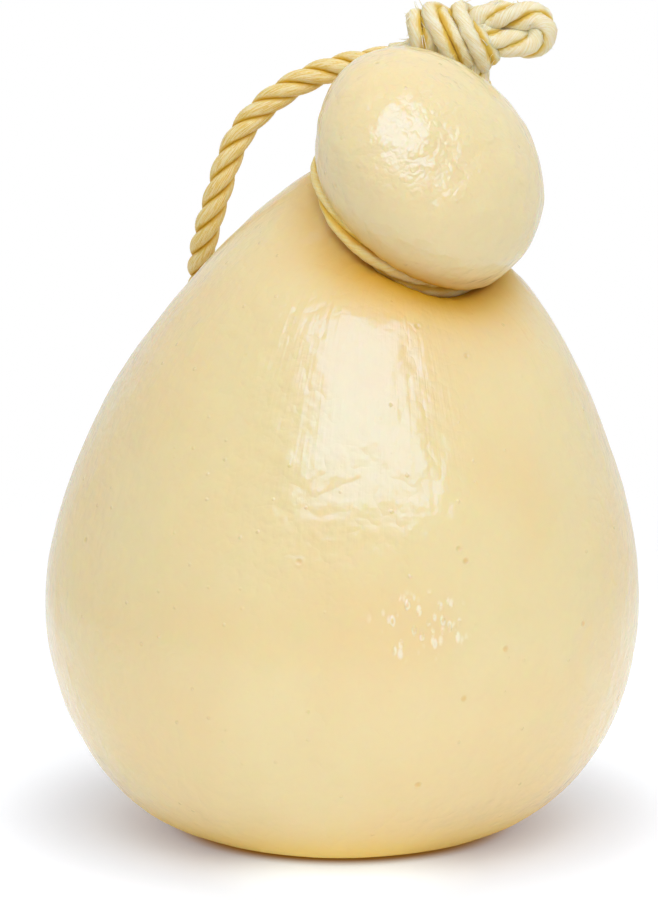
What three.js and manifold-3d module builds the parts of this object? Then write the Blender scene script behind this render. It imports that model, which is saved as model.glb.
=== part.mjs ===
// Caciocavallo, a pear of stretched-curd cheese with a neck and a head, slung in a loop of rope.
// Millimetres, +Z up, the front at -Y. The origin is on the foot, below the middle of the widest ring.

import * as THREE from 'three';
import { mergeVertices } from 'three/addons/utils/BufferGeometryUtils.js';
import Module from 'manifold-3d';

const { clamp, degToRad, lerp } = THREE.MathUtils;

// Body: round up to its waist, then a shoulder that is drawn in to the neck
const BODY_RADIUS = 70.2;
const WAIST_HEIGHT = 55.5;
const FOOT_RADIUS = 30;
const SHOULDER_REACH = 123.4; // above the waist, where the shoulder's curve would meet the spine
const SHOULDER_POWER = 1.72;
const PINCH_POWER = 9.7; // how late the shoulder is drawn in

// Neck: tied round by the rope, shifted and tilted to the front right by the weight of the head
const RING_CENTRE = new THREE.Vector3(14, -7, 146.5);
const RING_RADIUS = 22;
const LIP_RADIUS = 20; // the shoulder's edge, just below the rope
const NECK_LEAN = degToRad(44.5);
const LEAN_HEADING = degToRad(-40);
const TILT_POWER = 18; // how late the sections tilt
const SWAY = 4.8; // sideways drift of the shoulder before it flops over
const SWAY_POWER = 1.37;
const FLOP_POWER = 15;

// Dip in the shoulder's front right, below the overhanging head
const DIP_PLACE = new THREE.Vector2(30, -26);
const DIP_DEPTH = 5.5;
const DIP_WIDTH = 19;

// Head: a flattened ball, sheared along a line more upright than the neck's axis
const HEAD_RADIUS = 29.4;
const HEAD_HALF_HEIGHT = 21.2;
const HEAD_OFFSET = 14.2; // from the ring's plane to the ball's middle
const HEAD_RISE = degToRad(36.5);
const RISE_HEADING = degToRad(-47);

// Rope
const ROPE_RADIUS = 3;
const BIGHT_RADIUS = 2.7; // squeezed a little where it is doubled
const GAP = 0.3;
const ROPE_SIDES = 10;
const ROPE_STEP = 4.5;
const TURN_STEP = 2.7; // shorter steps round the knots' tight turns
const TURN_ANGLE = 30; // degrees between the points of a turn
const RUN_PIECE = 12; // length of the short tubes that a run in a knot is joined from
const RUN_OVERLAP = 1;
const LEAD = 3; // straight end of a run that meets the next one

// Tie at the back of the neck, outside the ring and a little below its plane
const TIE_DISTANCE = 29.6;
const TIE_DROP = 2;
const TIE_CORE = { halfLength: 5.5, radius: 4 };
const TIE_TURNS = { from: 200, to: -330, start: -1.8, end: 1.8, slant: 2.4, rise: 3.3, depth: 3.2, slim: 1 };

// Knot that closes the loop above the head
const KNOT_CENTRE = new THREE.Vector3(24.5, 12.2, 185.8);
const KNOT_CORE = { halfLength: 10.5, radius: 5.2 };
const KNOT_TURNS = { from: -90, to: 840, start: -6.8, end: 7.7, slant: 4.6, rise: 5, depth: 4.5, slim: 0.4 };

// Places on the knot are along it to the right, up, and out to the front
const KNOT_BIGHT = [
  [3, 1, -0.5], [7, 3.9, 0], [11, 4.8, 0.4], [15.8, 4.9, 0.6], [20.4, 4.5, 0.5], [22.6, 1.7, 0.4],
  [20.8, -1.2, 0.5], [17.2, -1.8, 1], [12, -0.8, 1.6], [7, -0.4, 1.6], [2, -1, 0.5],
];
const KNOT_HEEL = [[3.5, -2, -0.6], [6.4, -5.2, -0.2]];

// Leg of the rope up the back of the head, from the knot's heel to the tie
const LEG_ROUTE = [[32, 14.6, 174], [32.8, 17.1, 170], [31.8, 20.4, 165], [28.4, 22.4, 161]];

// Free loop: from the tie down behind the shoulder, round and up at the left, and over to the knot
const LOOP_ROUTE = [
  [16.6, 23.6, 150], [16.3, 29.3, 143.6], [15.8, 36.6, 136.6], [15.2, 43.2, 129.4], [14.2, 48.9, 121.8],
  [11.8, 54.2, 114.5], [7, 58.3, 108.3], [-0.4, 60.4, 104.2], [-9.2, 60.2, 102.8], [-18.2, 57, 104.3],
  [-26.2, 51, 108.4], [-31.6, 43.2, 114.8], [-33.8, 34.9, 122.2], [-33.8, 27.4, 130.8], [-32, 21.6, 139.8],
  [-29.4, 18.6, 148.4], [-26.9, 16.9, 156.4], [-23.2, 15.8, 163.8], [-17.4, 14.8, 170], [-9.6, 13.8, 175.2],
  [-0.6, 12.9, 178.6], [7, 12.4, 180], [12, 12.4, 180.9],
];

// Fineness of the cheese
const SEGMENTS = 56;
const BELLY_STEPS = 10;
const SHOULDER_STEPS = 18;
const HEAD_STEPS = 12;
const RING_GATHER = 1.5; // the shoulder's rings gather towards the lip
const CORE_SEGMENTS = 14;

// Directions and places that follow from the sizes
const UP = new THREE.Vector3(0, 0, 1);
const RIGHT = new THREE.Vector3(1, 0, 0);
const LEAN_SIDE = level(LEAN_HEADING);
const CROSS_SIDE = UP.clone().cross(LEAN_SIDE);
const NECK_AXIS = tilted(NECK_LEAN, LEAN_HEADING);
const HEAD_LINE = tilted(HEAD_RISE, RISE_HEADING);
HEAD_LINE.divideScalar(HEAD_LINE.dot(NECK_AXIS));
const GROOVE_RADIUS = ROPE_RADIUS + GAP;
const LIP_DROP = Math.sqrt(GROOVE_RADIUS ** 2 - (RING_RADIUS - LIP_RADIUS) ** 2);
const LIP = RING_CENTRE.clone().addScaledVector(NECK_AXIS, -LIP_DROP);
const NECK_LENGTH = LIP_DROP + GROOVE_RADIUS;
const BACK = new THREE.Vector3(0, 1, 0).projectOnPlane(NECK_AXIS).normalize();
const TIE_CENTRE = RING_CENTRE.clone()
  .addScaledVector(BACK, TIE_DISTANCE)
  .addScaledVector(NECK_AXIS, -TIE_DROP);

const wasm = await Module();
wasm.setup();

function level(heading) {
  return new THREE.Vector3(Math.cos(heading), Math.sin(heading), 0);
}

function tilted(lean, heading) {
  return level(heading).multiplyScalar(Math.sin(lean)).addScaledVector(UP, Math.cos(lean));
}

// A closed geometry as a solid that can be joined and cut.
function solidOf(geometry) {
  const bare = geometry.clone();
  bare.deleteAttribute('normal');
  bare.deleteAttribute('uv');
  const merged = mergeVertices(bare);
  const corners = Array.from(merged.index.array);
  const faces = [];
  for (let i = 0; i < corners.length; i += 3) {
    const face = corners.slice(i, i + 3);
    if (new Set(face).size === 3) faces.push(...face);
  }
  const vertProperties = new Float32Array(merged.getAttribute('position').array);
  return new wasm.Manifold(new wasm.Mesh({ numProp: 3, vertProperties, triVerts: new Uint32Array(faces) }));
}

function geometryOf(solid) {
  const { vertProperties, triVerts } = solid.getMesh();
  const geometry = new THREE.BufferGeometry();
  geometry.setAttribute('position', new THREE.BufferAttribute(vertProperties, 3));
  geometry.setIndex(new THREE.BufferAttribute(triVerts, 1));
  geometry.computeVertexNormals();
  return geometry;
}

function fuse(geometries) {
  return geometryOf(geometries.map(solidOf).reduce((whole, piece) => whole.add(piece)));
}

// Profile of the cheese as radius and station. A station is a height up to the lip, and above the lip
// a length along the neck's axis.
function cheeseProfile() {
  const profile = [new THREE.Vector2(0, 0)];
  for (let i = 0; i <= BELLY_STEPS; i += 1) {
    const angle = (i / BELLY_STEPS) * (Math.PI / 2);
    const radius = FOOT_RADIUS + (BODY_RADIUS - FOOT_RADIUS) * Math.sin(angle);
    profile.push(new THREE.Vector2(radius, WAIST_HEIGHT * (1 - Math.cos(angle))));
  }
  const rise = LIP.z - WAIST_HEIGHT;
  const shoulder = (height) => BODY_RADIUS * (1 - (height / SHOULDER_REACH) ** SHOULDER_POWER);
  const pinch = shoulder(rise) - LIP_RADIUS;
  for (let i = 1; i <= SHOULDER_STEPS; i += 1) {
    const climb = 1 - (1 - i / SHOULDER_STEPS) ** RING_GATHER;
    const radius = shoulder(rise * climb) - pinch * climb ** PINCH_POWER;
    profile.push(new THREE.Vector2(radius, WAIST_HEIGHT + rise * climb));
  }
  const nape = Math.asin((GROOVE_RADIUS - HEAD_OFFSET) / HEAD_HALF_HEIGHT);
  for (let i = 0; i < HEAD_STEPS; i += 1) {
    const angle = lerp(nape, Math.PI / 2, i / HEAD_STEPS);
    const station = LIP.z + LIP_DROP + HEAD_OFFSET + HEAD_HALF_HEIGHT * Math.sin(angle);
    profile.push(new THREE.Vector2(HEAD_RADIUS * Math.cos(angle), station));
  }
  profile.push(new THREE.Vector2(0, LIP.z + LIP_DROP + HEAD_OFFSET + HEAD_HALF_HEIGHT));
  return profile;
}

// Middle and tilt of the cheese's section at a station.
function sectionAt(station) {
  const climb = clamp((station - WAIST_HEIGHT) / (LIP.z - WAIST_HEIGHT), 0, 1);
  const flop = climb ** FLOP_POWER;
  const drift = SWAY * climb ** SWAY_POWER;
  const middle = new THREE.Vector3(drift + (LIP.x - SWAY) * flop, LIP.y * flop, Math.min(station, LIP.z));
  const above = Math.max(station - LIP.z, 0);
  middle.addScaledVector(NECK_AXIS, Math.min(above, NECK_LENGTH));
  middle.addScaledVector(HEAD_LINE, Math.max(above - NECK_LENGTH, 0));
  return { middle, climb, tilt: NECK_LEAN * climb ** TILT_POWER };
}

function dipAt({ x, y }) {
  const away = DIP_PLACE.distanceTo({ x, y });
  return DIP_DEPTH * Math.exp(-((away / DIP_WIDTH) ** 2));
}

function bendAlongSpine(geometry) {
  const places = geometry.getAttribute('position');
  const point = new THREE.Vector3();
  for (let i = 0; i < places.count; i += 1) {
    point.fromBufferAttribute(places, i);
    const { middle, climb, tilt } = sectionAt(point.z);
    const leaning = LEAN_SIDE.clone().multiplyScalar(Math.cos(tilt)).addScaledVector(UP, -Math.sin(tilt));
    middle.addScaledVector(leaning, point.dot(LEAN_SIDE));
    middle.addScaledVector(CROSS_SIDE, point.dot(CROSS_SIDE));
    if (point.z <= LIP.z) middle.z -= climb * dipAt(middle);
    places.setXYZ(i, ...middle);
  }
  return geometry;
}

function neckRing(tubeRadius) {
  const ring = new THREE.TorusGeometry(RING_RADIUS, tubeRadius, ROPE_SIDES, SEGMENTS);
  ring.applyQuaternion(new THREE.Quaternion().setFromUnitVectors(UP, NECK_AXIS));
  return ring.translate(...RING_CENTRE);
}

// The cheese, with the groove that the rope presses into it.
function cheeseGeometry() {
  const pear = new THREE.LatheGeometry(cheeseProfile(), SEGMENTS).rotateX(Math.PI / 2);
  const groove = neckRing(GROOVE_RADIUS / Math.cos(Math.PI / ROPE_SIDES));
  return geometryOf(solidOf(bendAlongSpine(pear)).subtract(solidOf(groove)));
}

// Part of a route, between two fractions of its length.
class Stretch extends THREE.Curve {
  constructor(route, from, to) {
    super();
    Object.assign(this, { route, from, to });
  }

  getPoint(t, target = new THREE.Vector3()) {
    return this.route.getPointAt(lerp(this.from, this.to, t), target);
  }
}

function routeThrough(points) {
  const places = points.map((point) => (point.isVector3 ? point : new THREE.Vector3(...point)));
  return new THREE.CatmullRomCurve3(places, false, 'catmullrom', 0.5);
}

function ropeTube(curve, radius, step) {
  const corners = [];
  for (let i = 0; i < ROPE_SIDES; i += 1) {
    const angle = (i / ROPE_SIDES) * 2 * Math.PI;
    corners.push(new THREE.Vector2(radius * Math.cos(angle), radius * Math.sin(angle)));
  }
  const section = new THREE.Shape(corners);
  const steps = Math.ceil(curve.getLength() / step);
  return new THREE.ExtrudeGeometry(section, { steps, extrudePath: curve, bevelEnabled: false });
}

// The last points of a run that meets another route's start, face to face.
function approach(first, second) {
  const start = new THREE.Vector3(...first);
  const along = new THREE.Vector3(...second).sub(start).normalize();
  return [LEAD, GAP].map((back) => start.clone().addScaledVector(along, -back));
}

// A run of rope that may cross itself, as short tubes that overlap end to end.
function ropeRun(points, radius = ROPE_RADIUS) {
  const route = routeThrough(points);
  const overlap = RUN_OVERLAP / route.getLength();
  const pieces = Math.ceil(route.getLength() / RUN_PIECE);
  const tubes = [];
  for (let i = 0; i < pieces; i += 1) {
    const end = Math.min((i + 1) / pieces + overlap, 1);
    tubes.push(ropeTube(new Stretch(route, i / pieces, end), radius, TURN_STEP));
  }
  return tubes;
}

// Turns of rope round a knot. Each turn slants, the turns move along the knot, and the first one starts slim
// and upright.
function turnsOf(place, { from, to, start, end, slant, rise, depth, slim }) {
  const count = Math.round(Math.abs(to - from) / TURN_ANGLE);
  const points = [];
  for (let i = 0; i <= count; i += 1) {
    const angle = degToRad(lerp(from, to, i / count));
    const full = lerp(slim, 1, Math.min(i * TURN_ANGLE / 360, 1));
    const along = lerp(start, end, i / count) - full ** 2 * slant * Math.sin(angle);
    points.push(place([along, full * rise * Math.sin(angle), full * depth * Math.cos(angle)]));
  }
  return points;
}

// The packed middle of a knot, a ball drawn out along it.
function knotCore(centre, along, { halfLength, radius }) {
  const core = new THREE.SphereGeometry(radius, CORE_SEGMENTS, CORE_SEGMENTS / 2);
  core.scale(halfLength / radius, 1, 1);
  core.applyQuaternion(new THREE.Quaternion().setFromUnitVectors(RIGHT, along));
  return core.translate(...centre);
}

// The rope round the neck, its tie at the back, and the two legs that leave the tie.
function neckRopeGeometry() {
  const along = NECK_AXIS.clone().cross(BACK);
  const place = ([a, u, o]) => TIE_CENTRE.clone()
    .addScaledVector(along, a)
    .addScaledVector(NECK_AXIS, u)
    .addScaledVector(BACK, o);
  return fuse([
    neckRing(ROPE_RADIUS),
    knotCore(TIE_CENTRE, along, TIE_CORE),
    ...ropeRun(turnsOf(place, TIE_TURNS)),
    ...ropeRun([TIE_CENTRE, ...approach(LOOP_ROUTE[0], LOOP_ROUTE[1])]),
    ...ropeRun([...LEG_ROUTE, TIE_CENTRE]),
  ]);
}

// The knot: slanting turns, a doubled end left standing out to the right, and a heel to the leg below.
function knotGeometry() {
  const place = ([a, u, o]) => new THREE.Vector3(KNOT_CENTRE.x + a, KNOT_CENTRE.y - o, KNOT_CENTRE.z + u);
  const foot = approach(LOOP_ROUTE.at(-1), LOOP_ROUTE.at(-2)).reverse();
  return fuse([
    knotCore(KNOT_CENTRE, RIGHT, KNOT_CORE),
    ...ropeRun([...foot, ...turnsOf(place, KNOT_TURNS)]),
    ...ropeRun(KNOT_BIGHT.map(place), BIGHT_RADIUS),
    ...ropeRun([...KNOT_HEEL.map(place), ...approach(LEG_ROUTE[0], LEG_ROUTE[1])]),
  ]);
}

function loopGeometry() {
  return ropeTube(routeThrough(LOOP_ROUTE), ROPE_RADIUS, ROPE_STEP);
}

function part(name, geometry, material) {
  const mesh = new THREE.Mesh(geometry, material);
  mesh.name = name;
  return mesh;
}

const rind = () => new THREE.MeshStandardMaterial({ color: 0xeedaa8, roughness: 0.35, metalness: 0 });
const fibre = () => new THREE.MeshStandardMaterial({ color: 0xe3cf9b, roughness: 0.85, metalness: 0 });

const caciocavallo = new THREE.Group();
caciocavallo.add(
  part('cheese', cheeseGeometry(), rind()),
  part('neck_rope', neckRopeGeometry(), fibre()),
  part('rope_loop', loopGeometry(), fibre()),
  part('knot', knotGeometry(), fibre()),
);

export default caciocavallo;
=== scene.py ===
"""A caciocavallo standing on a pale floor, with the rope that it is hung by."""

import bpy
import numpy as np
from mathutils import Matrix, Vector


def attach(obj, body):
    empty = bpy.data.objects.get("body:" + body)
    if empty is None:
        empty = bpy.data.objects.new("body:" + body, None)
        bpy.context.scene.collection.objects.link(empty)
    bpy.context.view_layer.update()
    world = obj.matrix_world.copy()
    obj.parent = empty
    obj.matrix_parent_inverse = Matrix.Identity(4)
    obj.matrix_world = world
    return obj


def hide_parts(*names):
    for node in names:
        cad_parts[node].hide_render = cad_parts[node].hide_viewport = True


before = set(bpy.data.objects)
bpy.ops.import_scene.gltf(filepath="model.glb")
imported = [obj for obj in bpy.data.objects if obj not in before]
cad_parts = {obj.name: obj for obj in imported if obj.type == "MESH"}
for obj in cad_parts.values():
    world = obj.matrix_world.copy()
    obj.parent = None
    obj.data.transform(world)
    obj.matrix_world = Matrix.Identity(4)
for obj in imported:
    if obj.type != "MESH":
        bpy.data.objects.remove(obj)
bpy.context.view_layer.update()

# Camera
# A long lens a metre away, at the height of a seated viewer. It looks down on the cheese by ten degrees, and
# upright lines stay almost parallel.
AIM = Vector((-0.00307, 0, 0.08966))
LOOK_DOWN = np.radians(10)
VIEW_DISTANCE = 1.0
LENS_MM = 170

camera = bpy.data.objects.new("camera", bpy.data.cameras.new("camera"))
camera.data.lens = LENS_MM
sight = Vector((0, np.cos(LOOK_DOWN), -np.sin(LOOK_DOWN)))
camera.location = AIM - VIEW_DISTANCE * sight
camera.rotation_euler = sight.to_track_quat("-Z", "Y").to_euler()
bpy.context.scene.collection.objects.link(camera)
bpy.context.scene.camera = camera

# Cheese
# One piece of stretched curd, kneaded smooth, its neck tied off while it was warm, so that the head leans to
# the front. Brined and oiled, it has a thin waxy rind with pits, soft dents and streaks drawn to the neck.
BODY_RADIUS = 0.0702
WAIST_HEIGHT = 0.0555
FOOT_RADIUS = 0.030
SHOULDER_REACH = 0.1234
SHOULDER_POWER = 1.72
PINCH_POWER = 9.7
RING_CENTRE = np.array([0.014, -0.007, 0.1465])
RING_RADIUS = 0.022
LIP_RADIUS = 0.020
NECK_LEAN = np.radians(44.5)
LEAN_HEADING = np.radians(-40)
TILT_POWER = 18
SWAY = 0.0048
SWAY_POWER = 1.37
FLOP_POWER = 15
DIP_PLACE = np.array([0.030, -0.026])  # in the shoulder, below the overhanging head
DIP_DEPTH = 0.0055
DIP_WIDTH = 0.019
HEAD_RADIUS = 0.0294
HEAD_HALF_HEIGHT = 0.0212
HEAD_OFFSET = 0.0142
HEAD_RISE = np.radians(36.5)
RISE_HEADING = np.radians(-47)
GROOVE_RADIUS = 0.0033  # of the hollow that the rope lies in
ROPE_BED = 0.0028  # how near the rind comes to the rope's middle
BED_SOFTNESS = 0.0006
CHEESE_ROWS = 300
CHEESE_COLUMNS = 320
POLE_RADIUS = 0.0004
BELLY_STEPS = 300  # points of the outline, before they are spread evenly
SHOULDER_STEPS = 600
GROOVE_STEPS = 80
HEAD_STEPS = 500
MILLIMETRE = 0.001
WAVES = 24  # in a field of soft lumps
WAVE_SPREAD = (0.7, 1.4)
DENT_SIZES = ((0.045, 0.00030), (0.016, 0.00008), (0.007, 0.00003))  # width and depth
KNOB_RISE = 0.006  # over which the neck's rind becomes the head's
HEAD_LUMP = 0.00010
HEAD_LUMP_WIDTH = 0.0075
HEAD_LUMP_SEED = 7
HEAD_DENTS = (((0.0235, -0.0377, 0.1615), 0.010, 0.0010), ((0.0142, -0.0362, 0.1690), 0.004, 0.00022),
              ((0.0195, -0.0345, 0.1705), 0.003, 0.00012))  # place, size and depth
BROW = np.array([0.0195, -0.037, 0.165])
BROW_SIZE = 0.019  # of the wrinkles round the dents
LIP_SWELL = 0.0008  # of the head over the rope
LIP_REACH = 0.003
COLLAR_SWELL = 0.0021  # of the shoulder below the rope, at the front
COLLAR_OFFSET = 0.0016
COLLAR_REACH = 0.0036
COLLAR_TOP = 0.001  # above the lip
PLEAT_COUNT = 34
PLEAT_DEPTH = 0.00007
PLEAT_REACH = 0.011
PLEAT_WANDER = 2.5
PLEAT_WANDER_WIDTH = 0.03
PLEAT_SEED = 11
FOOT_FADE = 0.004  # height above the floor at which the relief is full
STREAK_HEIGHT = 0.11
STREAK_SPREAD = 0.04
STREAK_STRETCH = 0.35
# Painted shade: golden below the head, deepest at one turn to the front, and at the foot.
SHADE_TURN = 0.4  # from the lean's heading round to the deepest painted shade below the head
SHADE_GOLD = 0.50
SHADE_REACH = 0.0085
SHADE_ON_HEAD = 0.45  # share of the reach above the rope
FRONT_SHADE_GOLD = 0.55  # added at that turn
FRONT_SHADE_REACH = 0.0032
FOOT_SHADE_GOLDS = ((0.6, 0.011), (0.13, 0.035))  # share and height
ROUGH_PATCH = np.array([0.017, -0.068, 0.062])  # where the rind was scuffed into blisters, with glints painted on their rims
ROUGH_PATCH_SIZE = np.array([0.012, 0.020, 0.008])

UP = np.array([0, 0, 1.0])
OUT = np.array([np.cos(LEAN_HEADING), np.sin(LEAN_HEADING), 0])
ACROSS = np.cross(UP, OUT)
NECK_AXIS = np.sin(NECK_LEAN) * OUT + np.cos(NECK_LEAN) * UP
HEAD_LINE = np.array([np.sin(HEAD_RISE) * np.cos(RISE_HEADING), np.sin(HEAD_RISE) * np.sin(RISE_HEADING),
                      np.cos(HEAD_RISE)])
HEAD_LINE = HEAD_LINE / (HEAD_LINE @ NECK_AXIS)
LIP_DROP = np.sqrt(GROOVE_RADIUS ** 2 - (RING_RADIUS - LIP_RADIUS) ** 2)
LIP = RING_CENTRE - LIP_DROP * NECK_AXIS
NECK_LENGTH = LIP_DROP + GROOVE_RADIUS


def evenly(line, count):
    """The same line with its points spread evenly along its length."""
    run = np.concatenate([[0], np.cumsum(np.linalg.norm(np.diff(line, axis=0), axis=1))])
    places = np.linspace(0, run[-1], count)
    return np.stack([np.interp(places, run, column) for column in line.T], axis=-1)


def pear_outline():
    """Radius and station up the outline: a flat foot, a quarter ellipse to the waist, a power curve that is
    drawn in late for the shoulder, an arc round the rope, and the head's ellipse."""
    quarter = np.linspace(0, np.pi / 2, BELLY_STEPS)
    rise = LIP[2] - WAIST_HEIGHT
    climb = np.linspace(0, 1, SHOULDER_STEPS)
    shoulder = BODY_RADIUS * (1 - (rise * climb / SHOULDER_REACH) ** SHOULDER_POWER)
    shoulder = shoulder - (shoulder[-1] - LIP_RADIUS) * climb ** PINCH_POWER
    arc = np.linspace(-np.arcsin(LIP_DROP / GROOVE_RADIUS), np.pi / 2, GROOVE_STEPS)
    head_foot = np.arcsin((GROOVE_RADIUS - HEAD_OFFSET) / HEAD_HALF_HEIGHT)
    head = np.linspace(head_foot, np.pi / 2, HEAD_STEPS)
    ring = LIP[2] + LIP_DROP
    radius = np.concatenate([
        [POLE_RADIUS], FOOT_RADIUS + (BODY_RADIUS - FOOT_RADIUS) * np.sin(quarter), shoulder[1:],
        RING_RADIUS - GROOVE_RADIUS * np.cos(arc[1:]), HEAD_RADIUS * np.cos(head)])
    station = np.concatenate([
        [0], WAIST_HEIGHT * (1 - np.cos(quarter)), WAIST_HEIGHT + rise * climb[1:],
        ring + GROOVE_RADIUS * np.sin(arc[1:]), ring + HEAD_OFFSET + HEAD_HALF_HEIGHT * np.sin(head)])
    kept = radius >= POLE_RADIUS
    return evenly(np.stack([radius[kept], station[kept]], axis=-1), CHEESE_ROWS).T


def pear_surface(radius, station, turn):
    """Rings of the outline's radius round the spine. The spine is upright to the waist, drifts and flops over
    to the lip, and goes on along the neck's axis and the head's line. The rings tilt with it, and a
    bell-shaped dip lowers the shoulder below the head."""
    climb = np.clip((station - WAIST_HEIGHT) / (LIP[2] - WAIST_HEIGHT), 0, 1)
    flop = climb ** FLOP_POWER
    drift = SWAY * climb ** SWAY_POWER
    above = np.maximum(station - LIP[2], 0)
    spine = np.stack([drift + (LIP[0] - SWAY) * flop, LIP[1] * flop, np.minimum(station, LIP[2])], axis=-1)
    spine += np.minimum(above, NECK_LENGTH)[:, None] * NECK_AXIS
    spine += np.maximum(above - NECK_LENGTH, 0)[:, None] * HEAD_LINE
    tilt = NECK_LEAN * climb ** TILT_POWER
    leaning = np.cos(tilt)[:, None] * OUT - np.sin(tilt)[:, None] * UP
    spoke = np.cos(turn)[None, :, None] * leaning[:, None] + np.sin(turn)[None, :, None] * ACROSS
    points = spine[:, None] + radius[:, None, None] * spoke
    dip = DIP_DEPTH * np.exp(-((points[..., :2] - DIP_PLACE) ** 2).sum(-1) / DIP_WIDTH ** 2)
    points[..., 2] -= dip * (climb * np.clip(1 - above / GROOVE_RADIUS, 0, 1))[:, None]
    return points


def from_neck_ring(points):
    """Distance of points from the circle that the neck's rope follows, and the direction away from it."""
    height = (points - RING_CENTRE) @ NECK_AXIS
    level = points - RING_CENTRE - height[..., None] * NECK_AXIS
    spread = np.linalg.norm(level, axis=-1, keepdims=True)
    away = points - RING_CENTRE - RING_RADIUS * level / spread
    distance = np.linalg.norm(away, axis=-1)
    return distance, away / distance[..., None]


def outward(points):
    """Unit normals of a grid whose columns go round: the cross product of its two slopes."""
    around = np.roll(points, -1, axis=1) - np.roll(points, 1, axis=1)
    along = np.gradient(points, axis=0)
    normal = np.cross(around, along)
    return normal / np.linalg.norm(normal, axis=-1, keepdims=True)


def swell(points, width, seed):
    """Soft lumps about that wide, mostly between -1 and 1: a sum of waves in random directions."""
    random = np.random.default_rng(seed)
    waves = random.normal(size=(WAVES, 3))
    waves *= random.uniform(*WAVE_SPREAD, (WAVES, 1)) / np.linalg.norm(waves, axis=1, keepdims=True)
    phase = random.uniform(0, 2 * np.pi, WAVES)
    return np.sin(points @ waves.T * (2 * np.pi / width) + phase).sum(-1) / WAVES ** 0.5


def tubes(name, points, shut=False, **attributes):
    """A mesh of closed tubes from points in an array (tube, row, column): quads between neighbours, and the
    end rows joined to each other where shut, or else closed by a fan to their middle. Attributes have a value
    or a vector for each point."""
    count, rows, columns = points.shape[:3]
    index = np.arange(count * rows * columns).reshape(count, rows, columns)
    if shut:
        index = np.concatenate([index, index[:, :1]], axis=1)
    beside = np.roll(index, -1, axis=2)
    quads = np.stack([index[:, :-1], beside[:, :-1], beside[:, 1:], index[:, 1:]], axis=-1)
    faces = quads.reshape(-1, 4).tolist()
    ends = np.zeros((0, 3))
    if not shut:
        ends = points[:, [0, -1]].mean(axis=2).reshape(-1, 3)
        middle = (index.max() + 1 + np.arange(2 * count)).reshape(count, 2, 1)
        first = [beside[:, 0], index[:, 0], np.broadcast_to(middle[:, 0], (count, columns))]
        last = [index[:, -1], beside[:, -1], np.broadcast_to(middle[:, 1], (count, columns))]
        faces += np.stack(first, axis=-1).reshape(-1, 3).tolist()
        faces += np.stack(last, axis=-1).reshape(-1, 3).tolist()
    mesh = bpy.data.meshes.new(name)
    mesh.from_pydata(np.concatenate([points.reshape(-1, 3), ends]), [], faces, shade_flat=False)
    for label, values in attributes.items():
        wide = values.ndim == 4
        flat = values.reshape(-1, 3) if wide else values.reshape(-1, 1)
        if not shut:
            at_ends = values[:, [0, -1]].mean(axis=2).reshape(-1, flat.shape[1])
            flat = np.concatenate([flat, at_ends])
        stored = mesh.attributes.new(label, "FLOAT_VECTOR" if wide else "FLOAT", "POINT")
        stored.data.foreach_set("vector" if wide else "value", flat.astype(np.float32).ravel())
    made = bpy.data.objects.new(name, mesh)
    bpy.context.scene.collection.objects.link(made)
    return made


class Wire:
    """A socket of a material's nodes. Sums of wires and numbers become Math nodes, and node() adds any other
    node from its type, its settings and the values or wires of its sockets."""

    def __init__(self, tree, socket=None):
        self.tree = tree
        self.socket = socket

    def node(self, kind, settings=(), inputs=(), output=0):
        made = self.tree.nodes.new(kind)
        for name, value in dict(settings).items():
            setattr(made, name, value)
        known = {socket.identifier: socket for socket in made.inputs}
        for name, value in dict(inputs).items():
            socket = known.get(name) or made.inputs[name]
            if isinstance(value, Wire):
                self.tree.links.new(value.socket, socket)
            else:
                socket.default_value = value
        return Wire(self.tree, made.outputs[output] if made.outputs else None)

    def also(self, output):
        """Another output of the same node."""
        return Wire(self.tree, self.socket.node.outputs[output])

    def math(self, operation, *values):
        return self.node("ShaderNodeMath", {"operation": operation}, enumerate(values))

    def __add__(self, other):
        return self.math("ADD", self, other)

    def __sub__(self, other):
        return self.math("SUBTRACT", self, other)

    def __rsub__(self, other):
        return self.math("SUBTRACT", other, self)

    def __mul__(self, other):
        return self.math("MULTIPLY", self, other)

    __radd__ = __add__
    __rmul__ = __mul__

    def carried(self, name, output="Fac"):
        """What the mesh carries under this name."""
        return self.node("ShaderNodeAttribute", {"attribute_name": name}, output=output)

    def between(self, low, high):
        """0 below low, 1 above high, and a smooth step between them."""
        return self.node("ShaderNodeMapRange", {"interpolation_type": "SMOOTHSTEP"},
                         {"Value": self, "From Min": low, "From Max": high})

    def noise(self, scale, detail=2.0):
        """Noise from 0 to 1 at this vector."""
        return self.node("ShaderNodeTexNoise", (), {"Vector": self, "Scale": scale, "Detail": detail})

    def creases(self, scale):
        """Sharp folds: how far the noise is from its middle value."""
        off = self.noise(scale) - 0.5
        return off.math("ABSOLUTE", off)

    def cells(self, scale):
        """Distance from the nearest of the points scattered here, and that point's random number."""
        near = self.node("ShaderNodeTexVoronoi", (), {"Vector": self, "Scale": scale})
        return near, self.node("ShaderNodeSeparateColor", (), {"Color": near.also("Color")})

    def bump(self):
        """A normal that is tilted by this height in millimetres."""
        return self.node("ShaderNodeBump", (), {"Strength": 1.0, "Distance": MILLIMETRE, "Height": self})

    def shade(self, low, high):
        """A colour that goes from low to high as this value goes from 0 to 1."""
        return self.node("ShaderNodeMix", {"data_type": "RGBA"},
                         {"Factor_Float": self, "A_Color": (*low, 1), "B_Color": (*high, 1)}, 2)

    def tint(self, share, colour):
        """This colour, with a share of another."""
        return self.node("ShaderNodeMix", {"data_type": "RGBA"},
                         {"Factor_Float": share, "A_Color": self, "B_Color": (*colour, 1)}, 2)


def finish_named(name):
    """A new material without nodes, and the wire to add them with."""
    material = bpy.data.materials.new(name)
    material.use_nodes = True
    material.node_tree.nodes.clear()
    return material, Wire(material.node_tree)


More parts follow.
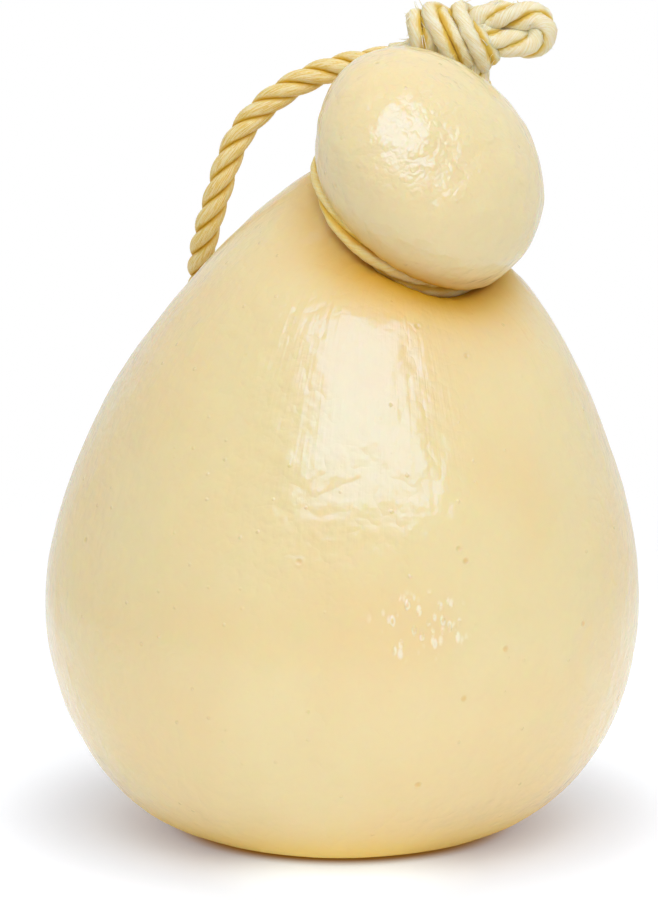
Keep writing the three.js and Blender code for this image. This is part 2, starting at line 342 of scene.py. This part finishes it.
def waxy_rind():
    """Cream rind with peach and straw mottling, paler on the head. Golden shade is painted in the pits, and
    painted golden shade lies below the head and at the foot, where the rind is also dull. Folds, streaks
    drawn to the neck, pits, specks and a blistered patch break up its gloss, and pale glints are painted on
    the blisters' rims. The scales of noise and cells at a place are counts to a metre."""
    cream = (0.825, 0.70, 0.395)
    peach = (0.83, 0.665, 0.36)
    straw = (0.80, 0.69, 0.365)
    milky = (0.87, 0.78, 0.52)
    # The colour of the painted glints
    painted_glint = (0.97, 0.93, 0.80)
    # The colour of the painted shade
    shade_gold = (0.68, 0.36, 0.012)
    material, start = finish_named("rind")
    place = start.node("ShaderNodeTexCoord", output="Object")
    drawn = start.carried("drawn", "Vector")
    pull = start.carried("pull")
    knob = start.carried("knob")
    brow = start.carried("brow")
    # Where golden shade is painted: below the head and at the foot
    tuck = start.carried("tuck")
    scuff = start.carried("scuff")
    pits, chosen = place.cells(105)
    pitted = chosen.between(0.64, 0.72)
    pit = pitted * (1 - pits.between(0.02, 0.11))
    rim = pitted * (1 - pits.between(0.08, 0.19))
    specks, few = place.cells(270)
    speck = few.between(0.74, 0.8) * (1 - specks.between(0.04, 0.16))
    tall = start.node("ShaderNodeVectorMath", {"operation": "MULTIPLY"}, {0: place, 1: (1, 1, 0.5)})
    blisters, burst = tall.cells(620)
    blister = scuff.between(0.3, 0.7) * burst.between(0.1, 0.6) * (1 - blisters.between(0.1, 0.5))
    broad = place.noise(26)
    patchy = place.noise(120)
    fine = place.noise(330)
    creases = place.creases(150)
    wrinkles = place.creases(400)
    streak = drawn.noise(34, 3)
    colour = broad.between(0.38, 0.66).shade(cream, peach)
    colour = colour.tint(patchy.between(0.5, 0.75) * 0.5, straw)
    colour = colour.tint(knob * 0.25, milky)
    # Painted shade: golden at the bottom of the pits
    colour = colour.tint(pit * 0.35, shade_gold)
    # Painted shade: golden below the head and at the foot
    colour = colour.tint(tuck, shade_gold)
    # Painted glints: pale on the rims of the blisters
    glint_rim = blister * (1 - blister) * place.noise(500).between(0.4, 0.56)
    colour = colour.tint(glint_rim * 2.4, painted_glint)
    height = (patchy * (0.5 + knob * 0.35) + fine * 0.06
              + creases * (0.5 + brow * 1.2) + wrinkles * (0.09 + brow * 0.6) + streak * pull * 0.15
              + rim * 0.08 - pit * 0.22 + speck * 0.16 + blister * 0.36)
    normal = height.bump()
    wax = {"Base Color": colour, "Roughness": 0.12 + fine * 0.12, "IOR": 1.46, "Subsurface Weight": 0.6,
           "Subsurface Radius": (1.0, 0.55, 0.2), "Subsurface Scale": 0.008, "Normal": normal}
    glossy = start.node("ShaderNodeBsdfPrincipled", {"subsurface_method": "RANDOM_WALK"}, wax)
    dull = start.node("ShaderNodeBsdfPrincipled", {"subsurface_method": "RANDOM_WALK"},
                      {**wax, "Specular IOR Level": 0.0})
    shader = start.node("ShaderNodeMixShader", (), {0: tuck.between(0.15, 0.6), 1: glossy, 2: dull})
    start.node("ShaderNodeOutputMaterial", (), {"Surface": shader})
    return material


radius, station = pear_outline()
turn = np.linspace(0, 2 * np.pi, CHEESE_COLUMNS, endpoint=False)
smooth = pear_surface(radius, station, turn)
off_rope, away = from_neck_ring(smooth)
past = off_rope - ROPE_BED
pressed = ROPE_BED + 0.5 * (past + np.sqrt(past ** 2 + BED_SOFTNESS ** 2))
rind_points = smooth + (pressed - off_rope)[..., None] * away
relief = np.zeros(off_rope.shape)
for seed, (width, depth) in enumerate(DENT_SIZES):
    relief += depth * swell(rind_points, width, seed)
off_bed = pressed - ROPE_BED
pleat = np.cos(PLEAT_COUNT * turn + PLEAT_WANDER * swell(rind_points, PLEAT_WANDER_WIDTH, PLEAT_SEED))
relief += PLEAT_DEPTH * pleat * np.exp(-np.maximum(off_bed, 0) / PLEAT_REACH)
past_neck = station - LIP[2] - NECK_LENGTH
knob = np.clip(past_neck / KNOB_RISE, 0, 1)[:, None] + 0 * turn
relief += HEAD_LUMP * knob * swell(rind_points, HEAD_LUMP_WIDTH, HEAD_LUMP_SEED)
for place, size, depth in HEAD_DENTS:
    relief -= depth * np.exp(-((rind_points - place) ** 2).sum(-1) / size ** 2)
brow = np.exp(-((rind_points - BROW) ** 2).sum(-1) / BROW_SIZE ** 2)
relief += LIP_SWELL * np.exp(-(past_neck / LIP_REACH) ** 2)[:, None]
collar = np.exp(-((off_bed - COLLAR_OFFSET) / COLLAR_REACH) ** 2)
collar = collar * (station < LIP[2] + COLLAR_TOP)[:, None]
relief += COLLAR_SWELL * collar * np.clip(np.cos(turn), 0, 1)
relief *= np.clip(rind_points[..., 2] / FOOT_FADE, 0, 1)
rind_points = rind_points + relief[..., None] * outward(rind_points)
outline_run = np.linspace(0, 1, CHEESE_ROWS)[:, None]
drawn = np.stack(np.broadcast_arrays(np.cos(turn), np.sin(turn), STREAK_STRETCH * outline_run), axis=-1)
# Painted shade: golden below the rope, most at the front turn and less on the head, and at the foot.
below_rope = np.where(station < LIP[2], 1, SHADE_ON_HEAD)[:, None]
in_front = np.clip(np.cos(turn + SHADE_TURN), 0, 1) ** 2
tuck_reach = below_rope * (SHADE_REACH + FRONT_SHADE_REACH * in_front)
tuck = (SHADE_GOLD + FRONT_SHADE_GOLD * in_front) * np.exp(-(off_bed / tuck_reach) ** 2)
for share, rise in FOOT_SHADE_GOLDS:
    tuck += share * np.exp(-(rind_points[..., 2] / rise) ** 2)
pull = np.exp(-((station - STREAK_HEIGHT) / STREAK_SPREAD) ** 2)[:, None] + 0 * turn
scuff = np.exp(-(((rind_points - ROUGH_PATCH) / ROUGH_PATCH_SIZE) ** 2).sum(-1))
cheese = tubes("cheese_rind", rind_points[None], drawn=drawn[None], tuck=tuck[None], scuff=scuff[None],
               pull=pull[None], knob=knob[None], brow=brow[None])
cheese.data.materials.append(waxy_rind())
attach(cheese, "root")
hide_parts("cheese")

# Rope round the neck
# Three-strand rope of plant fibre, drawn tight round the neck and tied off at the back. One leg leaves the
# tie for the knot behind the head, and the free loop leaves it below.
ROPE_RADIUS = 0.003
ROPE_LAY = 0.021
STRAND_REACH = 0.00168  # from the rope's middle to a strand's
STRAND_DEPTH = 0.00156
STRAND_WIDTH = 0.00176
STRAND_SIDES = 22
YARNS = 7
YARN_TWIST = 0.016
FLUTE_DEPTH = 0.075
GROOVE_EDGE = 0.6  # share of the rope's radius below which a point is deep between the strands
FIBRE_STRETCH = 45
STRAND_SHIFT = 7  # from one strand's fibre pattern to the next
RING_ROWS = 220
RING_TWISTS = 2
RING_SIZE = 0.88  # drawn thin by the pull
RING_RAGGED = 0.07
RAGGED_WIDTH = 0.0045
RAGGED_SEED = 5
ROW_STEP = 0.0007
STRETCH_STEPS = 40  # between two points of a route, before they are spread evenly
LEAD = 0.003  # before the place where two runs meet
OVERLAP = 0.0006  # past it
TURN_STEP = 30  # degrees
TIE_DISTANCE = 0.0296
TIE_DROP = 0.002
TIE_TURNS = dict(begin=200, end=-330, left=-0.0018, right=0.0018, slant=0.0024, rise=0.0033,
                 depth=0.0032, slim=1)
LEG_ROUTE = [(0.0320, 0.0146, 0.1740), (0.0328, 0.0171, 0.1700), (0.0318, 0.0204, 0.1650),
             (0.0284, 0.0224, 0.1610)]
LOOP_START = [(0.0166, 0.0236, 0.1500), (0.0163, 0.0293, 0.1436)]

BACK = np.array([0, 1, 0]) - NECK_AXIS[1] * NECK_AXIS
BACK = BACK / np.linalg.norm(BACK)
TIE_CENTRE = RING_CENTRE + TIE_DISTANCE * BACK - TIE_DROP * NECK_AXIS
TIE_ALONG = np.cross(NECK_AXIS, BACK)


def route_through(points):
    """Points a row step apart on the curve through the given ones. Each stretch is a cubic, whose slope at a
    point is half the line between that point's neighbours."""
    points = np.asarray(points, float)
    held = np.vstack([2 * points[0] - points[1], points, 2 * points[-1] - points[-2]])
    begin, end = held[1:-2], held[2:-1]
    slope_in, slope_out = (end - held[:-3]) / 2, (held[3:] - begin) / 2
    t = np.linspace(0, 1, STRETCH_STEPS, endpoint=False)[:, None, None]
    cubic = ((2 * t ** 3 - 3 * t ** 2 + 1) * begin + (t ** 3 - 2 * t ** 2 + t) * slope_in
             + (3 * t ** 2 - 2 * t ** 3) * end + (t ** 3 - t ** 2) * slope_out)
    line = np.vstack([cubic.transpose(1, 0, 2).reshape(-1, 3), points[-1:]])
    length = np.linalg.norm(np.diff(line, axis=0), axis=1).sum()
    return evenly(line, round(length / ROW_STEP) + 1)


def frames_along(line):
    """Two directions across the line at each point, carried along it without a twist of their own."""
    way = np.gradient(line, axis=0)
    way /= np.linalg.norm(way, axis=1, keepdims=True)
    first = np.empty_like(line)
    side = np.cross(way[0], UP + OUT)
    for i in range(len(line)):
        side = side - (side @ way[i]) * way[i]
        side = side / np.linalg.norm(side)
        first[i] = side
    return first, np.cross(way, first)


def three_strands(line, first, second, lay, size=1.0, shut=False, ragged=0.0):
    """Points of a rope's strands (strand, row, column). A strand's middle is a helix round the line. Its
    section is an oval, fluted by yarns that twist the other way, and uneven where the rope is ragged. Also
    how deep each point lies between the strands, and fibre coordinates round and along the strand."""
    if shut:
        step = np.linalg.norm(np.roll(line, -1, axis=0) - line, axis=1)
    else:
        step = np.linalg.norm(np.diff(line, axis=0, append=line[-1:]), axis=1)
    run = np.cumsum(step) - step
    angle = 2 * np.pi * (np.arange(3)[:, None] / 3 + run / lay)
    out = np.cos(angle)[..., None] * first + np.sin(angle)[..., None] * second
    middle = line + size * STRAND_REACH * out
    if shut:
        way = np.roll(middle, -1, axis=1) - np.roll(middle, 1, axis=1)
    else:
        way = np.gradient(middle, axis=1)
    way /= np.linalg.norm(way, axis=-1, keepdims=True)
    out = out - (out * way).sum(-1, keepdims=True) * way
    out /= np.linalg.norm(out, axis=-1, keepdims=True)
    side = np.cross(way, out)
    turn = np.linspace(0, 2 * np.pi, STRAND_SIDES, endpoint=False)
    yarn_turns = np.round(run[-1] / YARN_TWIST) / run[-1]
    fibre_turn = turn + 2 * np.pi * run[:, None] * yarn_turns
    flute = 1 - (FLUTE_DEPTH + ragged) * (1 - np.abs(np.sin(YARNS * fibre_turn / 2))) ** 2
    section = size * flute[None, ..., None] * (
        STRAND_DEPTH * np.cos(turn)[:, None] * out[:, :, None]
        + STRAND_WIDTH * np.sin(turn)[:, None] * side[:, :, None])
    uneven = ragged * swell(middle[:, :, None] + section, RAGGED_WIDTH, RAGGED_SEED)
    points = middle[:, :, None] + section * (1 + uneven[..., None])
    reach = np.linalg.norm(points - line[:, None], axis=-1) / (size * ROPE_RADIUS)
    groove = 1 - np.clip((reach - GROOVE_EDGE) / (1 - GROOVE_EDGE), 0, 1)
    fibre_run = run[:, None] * FIBRE_STRETCH + STRAND_SHIFT * np.arange(3)[:, None, None]
    fibre = np.stack(np.broadcast_arrays(np.cos(fibre_turn), np.sin(fibre_turn), fibre_run), axis=-1)
    return points, groove, fibre


def rope_run(points, lay=ROPE_LAY, size=1.0, ragged=0.0):
    """Strands of an open stretch of rope through the given points."""
    line = route_through(points)
    return three_strands(line, *frames_along(line), lay, size=size, ragged=ragged)


def approach(first, second):
    """The last two points of a run that meets another route's start, in line with it and a little past it."""
    first = np.array(first)
    way = np.array(second) - first
    way = way / np.linalg.norm(way)
    return [first - LEAD * way, first + OVERLAP * way]


def turns_of(place, begin, end, left, right, slant, rise, depth, slim):
    """Turns of rope round a knot: an ellipse of the rise and depth, a point at every turn step. Each turn
    slants, the turns move along the knot, and the first one starts slim and upright."""
    angle = np.linspace(begin, end, round(abs(end - begin) / TURN_STEP) + 1)
    full = slim + (1 - slim) * np.clip(np.abs(angle - begin) / 360, 0, 1)
    angle = np.radians(angle)
    along = np.linspace(left, right, len(angle)) - full ** 2 * slant * np.sin(angle)
    return place(along, full * rise * np.sin(angle), full * depth * np.cos(angle))


def joined(name, runs):
    """One mesh object from several runs of strands."""
    made = [tubes(name, points, groove=groove, fibre=fibre) for points, groove, fibre in runs]
    with bpy.context.temp_override(active_object=made[0], selected_editable_objects=made):
        bpy.ops.object.join()
    return made[0]


def laid_fibre(name, pale, straw, golden):
    """Fibre of three colours: pale, with straw lines and patches along the yarns, and painted golden shade
    between the strands. The lines also stand up as fine ridges."""
    material, start = finish_named(name)
    place = start.node("ShaderNodeTexCoord", output="Object")
    fibre = start.carried("fibre", "Vector")
    groove = start.carried("groove")
    lines = fibre.noise(9, 4)
    bands = fibre.noise(2.2)
    colour = lines.between(0.4, 0.66).shade(pale, straw)
    colour = colour.tint(bands.between(0.45, 0.75) * 0.4, straw)
    # Painted shade: straw, then golden, deep between the strands
    colour = colour.tint(groove.between(0.02, 0.35) * 0.7, straw)
    colour = colour.tint(groove.between(0.12, 0.6), golden)
    height = lines * 0.12 + place.noise(900) * 0.03
    normal = height.bump()
    shader = start.node("ShaderNodeBsdfPrincipled", (), {
        "Base Color": colour, "Roughness": 0.42 + lines * 0.25, "Specular IOR Level": 0.2,
        "Sheen Weight": 0.08, "Sheen Roughness": 0.4, "Subsurface Weight": 0.4,
        "Subsurface Radius": (1.0, 0.6, 0.2), "Subsurface Scale": 0.0015, "Normal": normal})
    start.node("ShaderNodeOutputMaterial", (), {"Surface": shader})
    return material


def on_tie(along, up, out):
    """Places on the tie: along it, up the neck's axis, and out to the back."""
    ways = np.stack([TIE_ALONG, NECK_AXIS, BACK])
    return TIE_CENTRE + np.stack(np.broadcast_arrays(along, up, out), axis=-1) @ ways


ring_turn = np.linspace(0, 2 * np.pi, RING_ROWS, endpoint=False)[:, None]
ring_out = np.cos(ring_turn) * np.cross(ACROSS, NECK_AXIS) + np.sin(ring_turn) * ACROSS
ring_line = RING_CENTRE + RING_RADIUS * ring_out
ring_points, ring_groove, ring_fibre = three_strands(
    ring_line, ring_out, np.broadcast_to(NECK_AXIS, ring_out.shape),
    2 * np.pi * RING_RADIUS / RING_TWISTS, size=RING_SIZE, shut=True, ragged=RING_RAGGED)
neck_ring = tubes("neck_rope_ring", ring_points, shut=True, groove=ring_groove, fibre=ring_fibre)
# A brighter, more golden copy of the rope's finish: painted light on the ring, which lies in the head's shade
ring_finish = laid_fibre(
    "ring_rope_lightened", pale=(0.95, 0.79, 0.40), straw=(0.92, 0.68, 0.20), golden=(0.88, 0.57, 0.08))
rope_finish = laid_fibre(
    "rope", pale=(0.90, 0.76, 0.43), straw=(0.79, 0.54, 0.10), golden=(0.69, 0.38, 0.01))
neck_tie = joined("neck_rope_tie", [
    rope_run(turns_of(on_tie, **TIE_TURNS)),
    rope_run([TIE_CENTRE, *approach(*LOOP_START)]),
    rope_run([*LEG_ROUTE, TIE_CENTRE]),
])
for piece, finish in ((neck_ring, ring_finish), (neck_tie, rope_finish)):
    piece.data.materials.append(finish)
    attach(piece, "root")
    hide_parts("neck_rope")

# Knot
# The loop's two ends, knotted above the head: slanting turns round a packed middle, a doubled end that
# stands out to the right, and a heel that goes down to the leg behind the head. Some fibres have come loose.
KNOT_CENTRE = np.array([0.0245, 0.0122, 0.1858])
KNOT_TURNS = dict(begin=-90, end=840, left=-0.0068, right=0.0077, slant=0.0046, rise=0.005,
                  depth=0.0045, slim=0.4)
KNOT_BIGHT = np.array([
    (3, 1, -0.5), (7, 3.9, 0), (11, 4.8, 0.4), (15.8, 4.9, 0.6), (20.4, 4.5, 0.5), (22.6, 1.7, 0.4),
    (20.8, -1.2, 0.5), (17.2, -1.8, 1), (12, -0.8, 1.6), (7, -0.4, 1.6), (2, -1, 0.5)]) * MILLIMETRE
BIGHT_LAY = -0.024  # laid up the other way round, seen from the front
TURN_LAY = 0.055  # drawn out long by the pull
TURN_SIZE = 1.1
BIGHT_SIZE = 1.12
KNOT_RAGGED = 0.10
FIBRE_RADIUS = 0.00017
FIBRE_ROWS = 7
FIBRE_SIDES = 5
FIBRE_TAPER = 0.7
FIBRE_REACH = (0.4, 1.0)  # shares of the full length
FIBRE_LIFT = (0.1, 0.7)
FIBRE_BEND = 0.3
FIBRE_GRAIN = 300
ROOT_ROWS = 2  # from a fibre's root to the point on the strand that it sets out towards
LOOSE_IN_TURNS = ((0.3, 90, 0.004, 3), (1.0, 60, 0.003, 4))  # share of the run, count, length and seed
LOOSE_IN_BIGHT = ((1.0, 30, 0.003, 5),)
KNOT_HEEL = np.array([(3.5, -2, -0.6), (6.4, -5.2, -0.2)]) * MILLIMETRE
LOOP_END = [(0.0120, 0.0124, 0.1809), (0.0070, 0.0124, 0.1800)]


def on_knot(along, up, out):
    """Places on the knot: along it to the right, up, and out to the front."""
    return KNOT_CENTRE + np.stack(np.broadcast_arrays(along, -np.asarray(out), up), axis=-1)


def frayed(run, share, count, length, seed):
    """Thin tapered fibres that have come loose from the first share of a run of rope. Each leaves a strand at
    a low angle, lifts off as the square of its length and bends a little to one side."""
    points = run[0]
    random = np.random.default_rng(seed)
    strand = random.integers(0, len(points), count)
    row = random.integers(ROOT_ROWS, round(share * points.shape[1]) - ROOT_ROWS, count)
    column = random.integers(0, points.shape[2], count)
    root = points[strand, row, column]
    way = (points[strand, row + ROOT_ROWS, column] - root) * random.choice([-1, 1], (count, 1))
    out = root - points[strand, row].mean(axis=1)
    way /= np.linalg.norm(way, axis=1, keepdims=True)
    out /= np.linalg.norm(out, axis=1, keepdims=True)
    side = np.cross(way, out)
    t = np.linspace(0, 1, FIBRE_ROWS)[:, None, None]
    reach = length * random.uniform(*FIBRE_REACH, (count, 1))
    lift = random.uniform(*FIBRE_LIFT, (count, 1))
    bend = random.normal(0, FIBRE_BEND, (count, 1))
    line = root + reach * (t * way + t ** 2 * (lift * out + bend * side))
    turn = np.linspace(0, 2 * np.pi, FIBRE_SIDES, endpoint=False)[:, None]
    ring = np.cos(turn) * out[:, None] + np.sin(turn) * side[:, None]
    made = line.transpose(1, 0, 2)[:, :, None] + FIBRE_RADIUS * (1 - FIBRE_TAPER * t) * ring[:, None]
    return made, np.zeros(made.shape[:3]), made * FIBRE_GRAIN


knot_turns = rope_run([*approach(*LOOP_END)[::-1], *turns_of(on_knot, **KNOT_TURNS)],
                      lay=TURN_LAY, size=TURN_SIZE, ragged=KNOT_RAGGED)
knot_bight = rope_run(on_knot(*KNOT_BIGHT.T), lay=BIGHT_LAY, size=BIGHT_SIZE, ragged=KNOT_RAGGED)
knot_heel = rope_run([*on_knot(*KNOT_HEEL.T), *approach(LEG_ROUTE[0], LEG_ROUTE[1])])
knot_piece = joined("knot_rope", [
    knot_turns, knot_bight, knot_heel,
    *(frayed(knot_turns, *loose) for loose in LOOSE_IN_TURNS),
    *(frayed(knot_bight, *loose) for loose in LOOSE_IN_BIGHT),
])
combed_finish = laid_fibre(
    "combed_rope", pale=(0.90, 0.84, 0.66), straw=(0.83, 0.69, 0.34), golden=(0.77, 0.52, 0.08))
knot_piece.data.materials.append(combed_finish)
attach(knot_piece, "root")
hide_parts("knot")

# Free loop
# The rest of the same rope: from the tie down behind the shoulder, round, and up at the left to the knot.
# Its own stiffness holds it up.
LOOP_ROUTE = [
    *LOOP_START,
    (0.0158, 0.0366, 0.1366), (0.0152, 0.0432, 0.1294), (0.0142, 0.0489, 0.1218), (0.0118, 0.0542, 0.1145),
    (0.0070, 0.0583, 0.1083), (-0.0004, 0.0604, 0.1042), (-0.0092, 0.0602, 0.1028),
    (-0.0182, 0.0570, 0.1043), (-0.0262, 0.0510, 0.1084), (-0.0316, 0.0432, 0.1148),
    (-0.0338, 0.0349, 0.1222), (-0.0338, 0.0274, 0.1308), (-0.0320, 0.0216, 0.1398),
    (-0.0294, 0.0186, 0.1484), (-0.0269, 0.0169, 0.1564), (-0.0232, 0.0158, 0.1638),
    (-0.0174, 0.0148, 0.1700), (-0.0096, 0.0138, 0.1752), (-0.0006, 0.0129, 0.1786),
    *LOOP_END[::-1]]

loop_line = route_through(LOOP_ROUTE)
loop_points, loop_groove, loop_fibre = rope_run(LOOP_ROUTE)
loop = tubes("loop_rope", loop_points, groove=loop_groove, fibre=loop_fibre)
loop.data.materials.append(rope_finish)
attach(loop, "root")
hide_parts("rope_loop")

# Floor and backdrop
# A sheet of white paper that lies flat under the cheese and fades into a white backdrop without an edge. The
# backdrop is an even glow all round.
FLOOR_SIZE = 1.2
CONTACT_SHADE_ENDS = (0.031, 0.041)  # of the painted contact shadow: distances from the middle, as are the next three
GLOW_ENDS = (0.0355, 0.0425)
SHADE_ENDS = (0.062, 0.098)
PAPER_FADES = (0.14, 0.45)
PAPER_FRONT = (0, -0.045, 0)  # where the paper's painted light is whitest
FRONT_ENDS = (0.006, 0.036)  # distances from there
BACKDROP_RADIUS = 8
BACKDROP_ROWS = 24
BACKDROP_COLUMNS = 48
BACKDROP_RISE = 1.5  # radians above and below the level
WHITE = (1, 1, 1)


def white_paper():
    """White paper with a painted golden contact shadow where the cheese stands. Its glow is painted light:
    dim and golden near the cheese, and lifting the paper to white in front and further out. It is clear at
    the edge, where the backdrop shows."""
    # Painted contact shadow on the paper, and painted glows of light
    contact_shade = (0.44, 0.23, 0.03)
    clean = (0.79, 0.80, 0.82)
    gold_glow = (0.10, 0.045, 0)
    dim_glow = (0.165, 0.185, 0.245)
    far_glow = (0.37, 0.39, 0.43)
    front_glow = (0.42, 0.50, 0.57)
    material, start = finish_named("paper")
    place = start.node("ShaderNodeTexCoord", output="Object")
    reach = start.node("ShaderNodeVectorMath", {"operation": "LENGTH"}, {0: place}, "Value")
    off_front = start.node("ShaderNodeVectorMath", {"operation": "DISTANCE"},
                           {0: place, 1: PAPER_FRONT}, "Value")
    # Painted light: a dim glow near the cheese, white in front and further out, golden at the foot
    lift = reach.between(*SHADE_ENDS).shade(dim_glow, far_glow)
    lift = lift.tint(1 - off_front.between(*FRONT_ENDS), front_glow)
    lift = lift.tint(1 - reach.between(*GLOW_ENDS), gold_glow)
    # Painted contact shadow around the foot
    base = reach.between(*CONTACT_SHADE_ENDS).shade(contact_shade, clean)
    paper = start.node("ShaderNodeBsdfPrincipled", (), {
        "Base Color": base, "Roughness": 1.0, "Specular IOR Level": 0.0,
        "Emission Color": lift, "Emission Strength": 1.0})
    clear = start.node("ShaderNodeBsdfTransparent")
    shader = start.node("ShaderNodeMixShader", (), {0: reach.between(*PAPER_FADES), 1: paper, 2: clear})
    start.node("ShaderNodeOutputMaterial", (), {"Surface": shader})
    return material


def white_glow():
    """An even white glow."""
    material, start = finish_named("backdrop")
    glow = start.node("ShaderNodeEmission", (), {"Color": (*WHITE, 1), "Strength": 1.0})
    start.node("ShaderNodeOutputMaterial", (), {"Surface": glow})
    return material


floor_mesh = bpy.data.meshes.new("floor")
floor_corners = FLOOR_SIZE * np.array([(-1, -1, 0), (1, -1, 0), (1, 1, 0), (-1, 1, 0)])
floor_mesh.from_pydata(floor_corners, [], [(0, 1, 2, 3)])
floor = bpy.data.objects.new("floor", floor_mesh)
floor_mesh.materials.append(white_paper())
bpy.context.scene.collection.objects.link(floor)
ball_turn = np.linspace(0, 2 * np.pi, BACKDROP_COLUMNS, endpoint=False)
ball_lift = np.linspace(-BACKDROP_RISE, BACKDROP_RISE, BACKDROP_ROWS)[:, None]
ball = np.stack(np.broadcast_arrays(
    np.cos(ball_lift) * np.cos(ball_turn), np.cos(ball_lift) * np.sin(ball_turn), np.sin(ball_lift)), axis=-1)
backdrop = tubes("backdrop", BACKDROP_RADIUS * ball[None])
backdrop.data.materials.append(white_glow())
backdrop.visible_diffuse = False
backdrop.visible_glossy = False
backdrop.visible_transmission = False
backdrop.visible_shadow = False

# Light
# A white tent all round, brighter at the back, and two large soft boxes, one above the front and one low in
# front. A third box, just before the upper one, makes the gloss.
FRONT_GLOW = 0.45
BACK_GLOW = 0.86
GLOW_TURNS = (-0.3, 0.7)  # how far back a direction points where the change starts and ends
BOX_WIDTH = 0.9
LIGHT_AIM = Vector((0, 0, 0.09))
GLOSS_COLOUR = (0.20, 0.48, 1)


def box_light(name, heading, rise, distance, height, power, colour, shown):
    """A wide light that faces the cheese from the heading and rise, for the named kind of reflection only."""
    box = bpy.data.objects.new(name, bpy.data.lights.new(name, "AREA"))
    box.data.shape = "RECTANGLE"
    box.data.size = BOX_WIDTH
    box.data.size_y = height
    box.data.energy = power
    box.data.color = colour
    heading, rise = np.radians(heading), np.radians(rise)
    toward = Vector((np.sin(heading) * np.cos(rise), -np.cos(heading) * np.cos(rise), np.sin(rise)))
    box.location = LIGHT_AIM + distance * toward
    box.rotation_euler = toward.to_track_quat("Z", "Y").to_euler()
    box.visible_diffuse = shown == "diffuse"
    box.visible_transmission = shown == "diffuse"
    box.visible_glossy = shown == "glossy"
    bpy.context.scene.collection.objects.link(box)


box_light("soft_box", heading=7, rise=52, distance=0.90, height=0.9, power=5.4,
          colour=WHITE, shown="diffuse")
box_light("front_box", heading=12, rise=14, distance=0.90, height=0.9, power=0.7,
          colour=WHITE, shown="diffuse")
box_light("gloss_box", heading=8, rise=53.5, distance=0.85, height=0.78, power=15.2,
          colour=GLOSS_COLOUR, shown="glossy")
world = bpy.data.worlds.new("tent")
world.use_nodes = True
world.node_tree.nodes.clear()
tent = Wire(world.node_tree)
direction = tent.node("ShaderNodeTexCoord")
backward = tent.node("ShaderNodeSeparateXYZ", (), {0: direction}, "Y").between(*GLOW_TURNS)
glow = tent.node("ShaderNodeBackground", (), {
    "Color": (*WHITE, 1), "Strength": FRONT_GLOW + backward * (BACK_GLOW - FRONT_GLOW)})
tent.node("ShaderNodeOutputWorld", (), {"Surface": glow})
bpy.context.scene.world = world
bpy.context.scene.view_settings.view_transform = "Standard"
bpy.context.scene.view_settings.look = "None"
